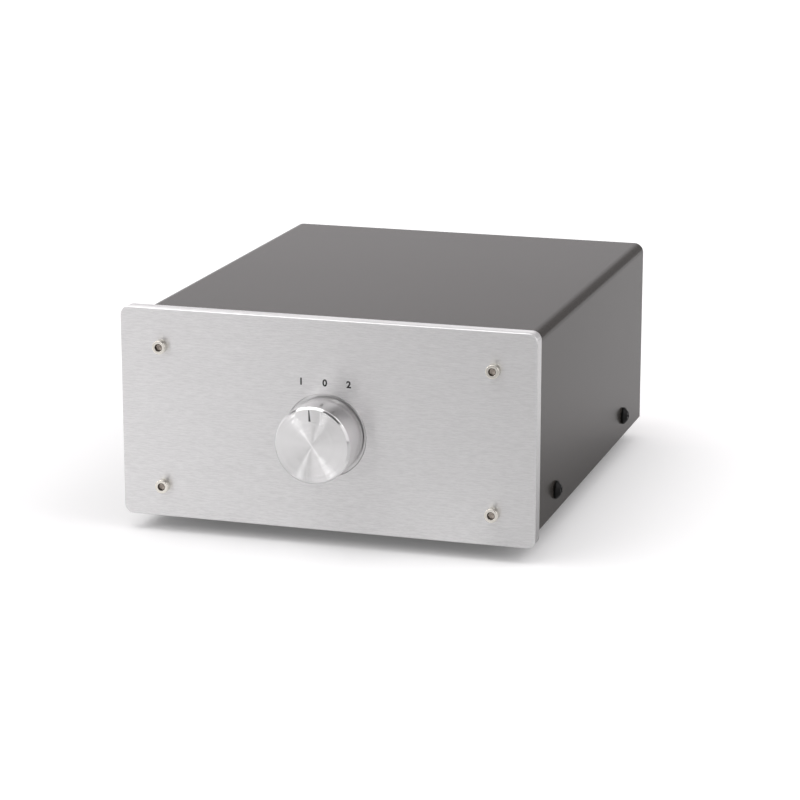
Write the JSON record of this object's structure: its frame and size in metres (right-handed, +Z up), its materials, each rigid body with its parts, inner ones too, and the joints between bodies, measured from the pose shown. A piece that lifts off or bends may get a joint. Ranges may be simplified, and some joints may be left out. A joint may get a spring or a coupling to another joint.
{
  "type": "speaker selector switch",
  "caption": "Low steel case behind a thick brushed aluminium panel, with a round knob in a shallow recess in front and rows of screw terminals behind.",
  "frame": {"origin": "on the ground, under the middle of the whole object's box", "axes": "-Y out of the front panel, +Y out of the terminals at the back, +X to the right seen from the front, +Z up"},
  "size_m": [0.17, 0.2392, 0.0914],
  "materials": {
    "front_panel": "brushed, clear anodised",
    "cover": "fine textured satin, warm dark grey",
    "pan": "fine textured satin, warm dark grey",
    "nickel": "nickel plated",
    "zinc": "zinc plated",
    "black_screw": "black oxide",
    "knob": "turned and polished",
    "rubber": "matte",
    "shaft": "ground",
    "spring": "drawn wire",
    "die_cast": "as cast",
    "acetal": "moulded",
    "laminate": "phenolic laminate",
    "silvered": "silver plated",
    "gold": "gold plated",
    "red_plastic": "moulded",
    "black_plastic": "moulded",
    "red_wire": "insulated stranded wire",
    "black_wire": "insulated stranded wire",
    "nylon": "natural nylon"
  },
  "bodies": {
    "case": {"front_panel": "front_panel", "front_panel_screws": "nickel", "front_panel_washers": "zinc", "front_panel_nuts": "zinc", "chassis_pan": "pan", "top_cover": "cover", "cover_screws": "black_screw", "rubber_feet": "rubber", "foot_screws": "zinc", "foot_nuts": "zinc", "switch_housing": "die_cast", "switch_rear_plate": "zinc", "switch_lock_washer": "zinc", "switch_mounting_nut": "nickel", "detent_balls": "shaft", "detent_springs": "spring", "wafer_stators": "laminate", "wafer_terminals": "silvered", "switch_tie_screws": "zinc", "switch_spacers": "zinc", "post_studs": "gold", "post_inner_bushes": "black_plastic", "post_nuts": "gold", "post_solder_lugs": "silvered", "cable_ties": "nylon", "post_collars_red": "red_plastic", "post_collars_black": "black_plastic", "red_wires": "red_wire", "black_wires": "black_wire"},
    "dial": {"control_knob": "knob", "knob_grub_screw": "black_screw", "switch_shaft": "shaft", "shaft_retaining_clip": "spring", "star_wheel": "acetal", "wafer_rotors": "laminate", "rotor_blades": "silvered"},
    "speaker_left_plus_clamp": {"speaker_left_plus_ring": "gold"},
    "speaker_left_plus_screw_cap": {"speaker_left_plus_cap": "red_plastic"},
    "speaker_left_minus_clamp": {"speaker_left_minus_ring": "gold"},
    "speaker_left_minus_screw_cap": {"speaker_left_minus_cap": "black_plastic"},
    "speaker_right_plus_clamp": {"speaker_right_plus_ring": "gold"},
    "speaker_right_plus_screw_cap": {"speaker_right_plus_cap": "red_plastic"},
    "speaker_right_minus_clamp": {"speaker_right_minus_ring": "gold"},
    "speaker_right_minus_screw_cap": {"speaker_right_minus_cap": "black_plastic"},
    "amp_1_left_plus_clamp": {"amp_1_left_plus_ring": "gold"},
    "amp_1_left_plus_screw_cap": {"amp_1_left_plus_cap": "red_plastic"},
    "amp_1_left_minus_clamp": {"amp_1_left_minus_ring": "gold"},
    "amp_1_left_minus_screw_cap": {"amp_1_left_minus_cap": "black_plastic"},
    "amp_1_right_plus_clamp": {"amp_1_right_plus_ring": "gold"},
    "amp_1_right_plus_screw_cap": {"amp_1_right_plus_cap": "red_plastic"},
    "amp_1_right_minus_clamp": {"amp_1_right_minus_ring": "gold"},
    "amp_1_right_minus_screw_cap": {"amp_1_right_minus_cap": "black_plastic"},
    "amp_2_left_plus_clamp": {"amp_2_left_plus_ring": "gold"},
    "amp_2_left_plus_screw_cap": {"amp_2_left_plus_cap": "red_plastic"},
    "amp_2_left_minus_clamp": {"amp_2_left_minus_ring": "gold"},
    "amp_2_left_minus_screw_cap": {"amp_2_left_minus_cap": "black_plastic"},
    "amp_2_right_plus_clamp": {"amp_2_right_plus_ring": "gold"},
    "amp_2_right_plus_screw_cap": {"amp_2_right_plus_cap": "red_plastic"},
    "amp_2_right_minus_clamp": {"amp_2_right_minus_ring": "gold"},
    "amp_2_right_minus_screw_cap": {"amp_2_right_minus_cap": "black_plastic"}
  },
  "joints": [
    {"name": "knob_turn", "type": "hinge", "parent": "case", "child": "dial", "pos_m": [0, -0.10315, 0.0451], "axis": [0, -1, 0], "range_deg": [-30, 30]},
    {"name": "speaker_left_plus_travel", "type": "slide", "parent": "case", "child": "speaker_left_plus_clamp", "axis": [0, 1, 0], "range_m": [0, 0.00375]},
    {"name": "speaker_left_plus_unscrew", "type": "hinge", "parent": "speaker_left_plus_clamp", "child": "speaker_left_plus_screw_cap", "pos_m": [-0.0595, 0.11965, 0.0602], "axis": [0, 1, 0], "range_deg": [0, 1800.3]},
    {"name": "speaker_left_minus_travel", "type": "slide", "parent": "case", "child": "speaker_left_minus_clamp", "axis": [0, 1, 0], "range_m": [0, 0.00375]},
    {"name": "speaker_left_minus_unscrew", "type": "hinge", "parent": "speaker_left_minus_clamp", "child": "speaker_left_minus_screw_cap", "pos_m": [-0.0595, 0.11965, 0.0362], "axis": [0, 1, 0], "range_deg": [0, 1800.3]},
    {"name": "speaker_right_plus_travel", "type": "slide", "parent": "case", "child": "speaker_right_plus_clamp", "axis": [0, 1, 0], "range_m": [0, 0.00375]},
    {"name": "speaker_right_plus_unscrew", "type": "hinge", "parent": "speaker_right_plus_clamp", "child": "speaker_right_plus_screw_cap", "pos_m": [-0.0405, 0.11965, 0.0602], "axis": [0, 1, 0], "range_deg": [0, 1800.3]},
    {"name": "speaker_right_minus_travel", "type": "slide", "parent": "case", "child": "speaker_right_minus_clamp", "axis": [0, 1, 0], "range_m": [0, 0.00375]},
    {"name": "speaker_right_minus_unscrew", "type": "hinge", "parent": "speaker_right_minus_clamp", "child": "speaker_right_minus_screw_cap", "pos_m": [-0.0405, 0.11965, 0.0362], "axis": [0, 1, 0], "range_deg": [0, 1800.3]},
    {"name": "amp_1_left_plus_travel", "type": "slide", "parent": "case", "child": "amp_1_left_plus_clamp", "axis": [0, 1, 0], "range_m": [0, 0.00375]},
    {"name": "amp_1_left_plus_unscrew", "type": "hinge", "parent": "amp_1_left_plus_clamp", "child": "amp_1_left_plus_screw_cap", "pos_m": [-0.0095, 0.11965, 0.0602], "axis": [0, 1, 0], "range_deg": [0, 1800.3]},
    {"name": "amp_1_left_minus_travel", "type": "slide", "parent": "case", "child": "amp_1_left_minus_clamp", "axis": [0, 1, 0], "range_m": [0, 0.00375]},
    {"name": "amp_1_left_minus_unscrew", "type": "hinge", "parent": "amp_1_left_minus_clamp", "child": "amp_1_left_minus_screw_cap", "pos_m": [-0.0095, 0.11965, 0.0362], "axis": [0, 1, 0], "range_deg": [0, 1800.3]},
    {"name": "amp_1_right_plus_travel", "type": "slide", "parent": "case", "child": "amp_1_right_plus_clamp", "axis": [0, 1, 0], "range_m": [0, 0.00375]},
    {"name": "amp_1_right_plus_unscrew", "type": "hinge", "parent": "amp_1_right_plus_clamp", "child": "amp_1_right_plus_screw_cap", "pos_m": [0.0095, 0.11965, 0.0602], "axis": [0, 1, 0], "range_deg": [0, 1800.3]},
    {"name": "amp_1_right_minus_travel", "type": "slide", "parent": "case", "child": "amp_1_right_minus_clamp", "axis": [0, 1, 0], "range_m": [0, 0.00375]},
    {"name": "amp_1_right_minus_unscrew", "type": "hinge", "parent": "amp_1_right_minus_clamp", "child": "amp_1_right_minus_screw_cap", "pos_m": [0.0095, 0.11965, 0.0362], "axis": [0, 1, 0], "range_deg": [0, 1800.3]},
    {"name": "amp_2_left_plus_travel", "type": "slide", "parent": "case", "child": "amp_2_left_plus_clamp", "axis": [0, 1, 0], "range_m": [0, 0.00375]},
    {"name": "amp_2_left_plus_unscrew", "type": "hinge", "parent": "amp_2_left_plus_clamp", "child": "amp_2_left_plus_screw_cap", "pos_m": [0.0405, 0.11965, 0.0602], "axis": [0, 1, 0], "range_deg": [0, 1800.3]},
    {"name": "amp_2_left_minus_travel", "type": "slide", "parent": "case", "child": "amp_2_left_minus_clamp", "axis": [0, 1, 0], "range_m": [0, 0.00375]},
    {"name": "amp_2_left_minus_unscrew", "type": "hinge", "parent": "amp_2_left_minus_clamp", "child": "amp_2_left_minus_screw_cap", "pos_m": [0.0405, 0.11965, 0.0362], "axis": [0, 1, 0], "range_deg": [0, 1800.3]},
    {"name": "amp_2_right_plus_travel", "type": "slide", "parent": "case", "child": "amp_2_right_plus_clamp", "axis": [0, 1, 0], "range_m": [0, 0.00375]},
    {"name": "amp_2_right_plus_unscrew", "type": "hinge", "parent": "amp_2_right_plus_clamp", "child": "amp_2_right_plus_screw_cap", "pos_m": [0.0595, 0.11965, 0.0602], "axis": [0, 1, 0], "range_deg": [0, 1800.3]},
    {"name": "amp_2_right_minus_travel", "type": "slide", "parent": "case", "child": "amp_2_right_minus_clamp", "axis": [0, 1, 0], "range_m": [0, 0.00375]},
    {"name": "amp_2_right_minus_unscrew", "type": "hinge", "parent": "amp_2_right_minus_clamp", "child": "amp_2_right_minus_screw_cap", "pos_m": [0.0595, 0.11965, 0.0362], "axis": [0, 1, 0], "range_deg": [0, 1800.3]}
  ],
  "couplings": [
    {"joint": "speaker_left_plus_unscrew", "follows": "speaker_left_plus_travel", "rad_per_m": 8377.6},
    {"joint": "speaker_left_minus_unscrew", "follows": "speaker_left_minus_travel", "rad_per_m": 8377.6},
    {"joint": "speaker_right_plus_unscrew", "follows": "speaker_right_plus_travel", "rad_per_m": 8377.6},
    {"joint": "speaker_right_minus_unscrew", "follows": "speaker_right_minus_travel", "rad_per_m": 8377.6},
    {"joint": "amp_1_left_plus_unscrew", "follows": "amp_1_left_plus_travel", "rad_per_m": 8377.6},
    {"joint": "amp_1_left_minus_unscrew", "follows": "amp_1_left_minus_travel", "rad_per_m": 8377.6},
    {"joint": "amp_1_right_plus_unscrew", "follows": "amp_1_right_plus_travel", "rad_per_m": 8377.6},
    {"joint": "amp_1_right_minus_unscrew", "follows": "amp_1_right_minus_travel", "rad_per_m": 8377.6},
    {"joint": "amp_2_left_plus_unscrew", "follows": "amp_2_left_plus_travel", "rad_per_m": 8377.6},
    {"joint": "amp_2_left_minus_unscrew", "follows": "amp_2_left_minus_travel", "rad_per_m": 8377.6},
    {"joint": "amp_2_right_plus_unscrew", "follows": "amp_2_right_plus_travel", "rad_per_m": 8377.6},
    {"joint": "amp_2_right_minus_unscrew", "follows": "amp_2_right_minus_travel", "rad_per_m": 8377.6}
  ]
}
